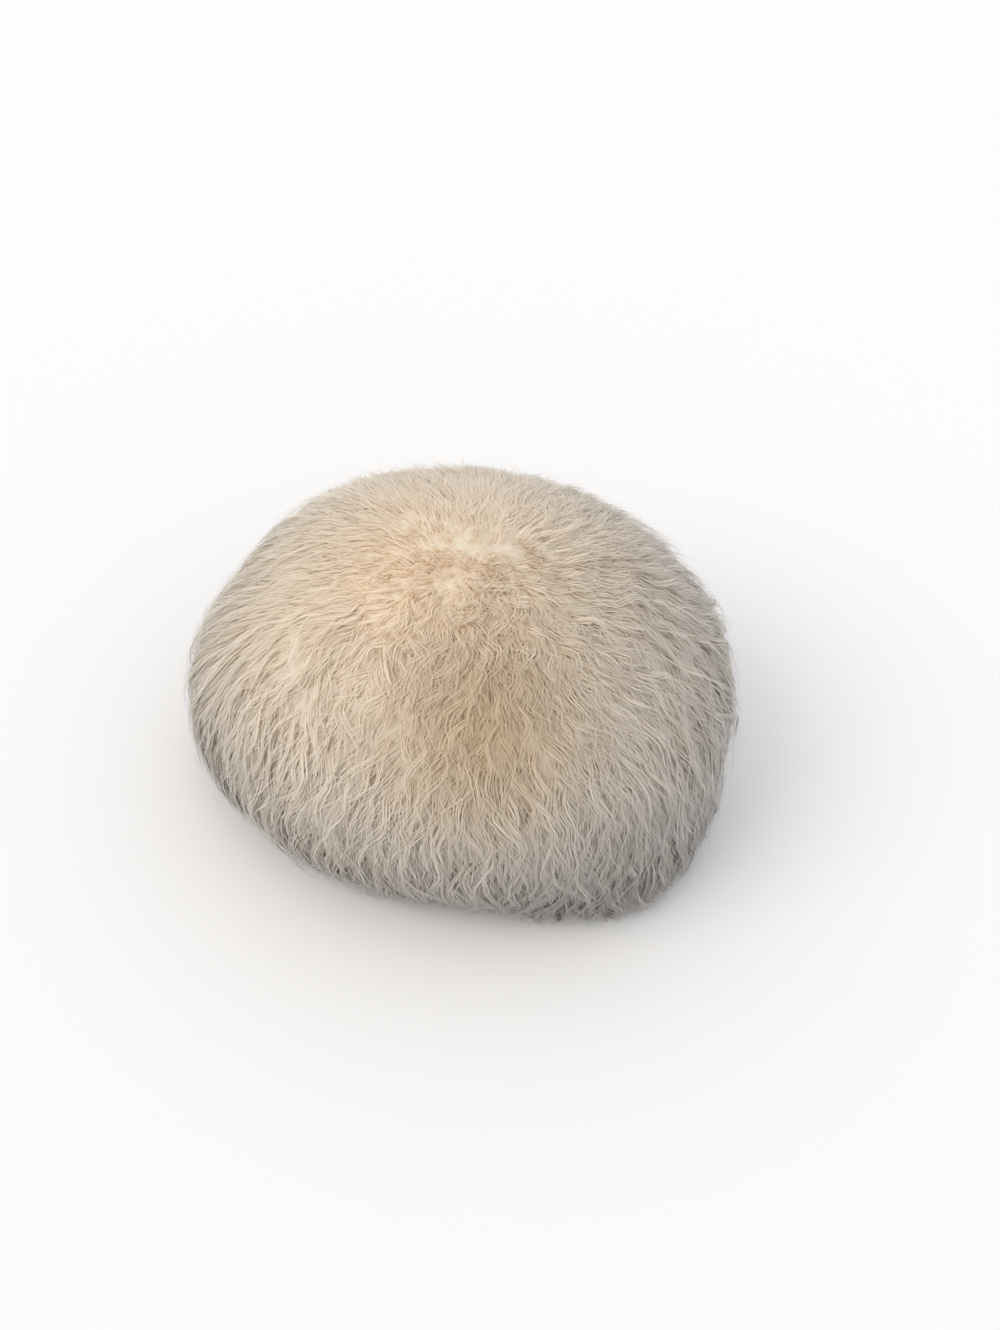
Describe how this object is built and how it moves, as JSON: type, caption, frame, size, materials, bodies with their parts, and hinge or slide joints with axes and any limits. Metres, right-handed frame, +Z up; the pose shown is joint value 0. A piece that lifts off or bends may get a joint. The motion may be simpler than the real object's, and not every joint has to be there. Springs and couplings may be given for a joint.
{
  "type": "turkmen telpek hat",
  "caption": "Round domed sheepskin cap with long wool locks outside, a sewn side band and crown of hide, and an oval hollow for the head, resting on its rim.",
  "frame": {"origin": "on the surface that the rim rests on, under the middle of the hat's bounding box", "axes": "+Z up out of the crown, -Y towards the wearer's brow, +X over the wearer's left ear"},
  "size_m": [0.277, 0.303, 0.1687],
  "materials": {
    "suede": "suede side of tanned sheepskin, dry and matt",
    "crown_wool": "long natural sheep's wool, warm cream, soft and matt with a faint silky gleam",
    "band_wool": "long natural sheep's wool, greyer cream, in wavy pointed locks"
  },
  "bodies": {
    "root": {"hide_band": "suede", "hide_crown": "suede", "wool_crown": "crown_wool", "wool_band": "band_wool"}
  },
  "joints": []
}
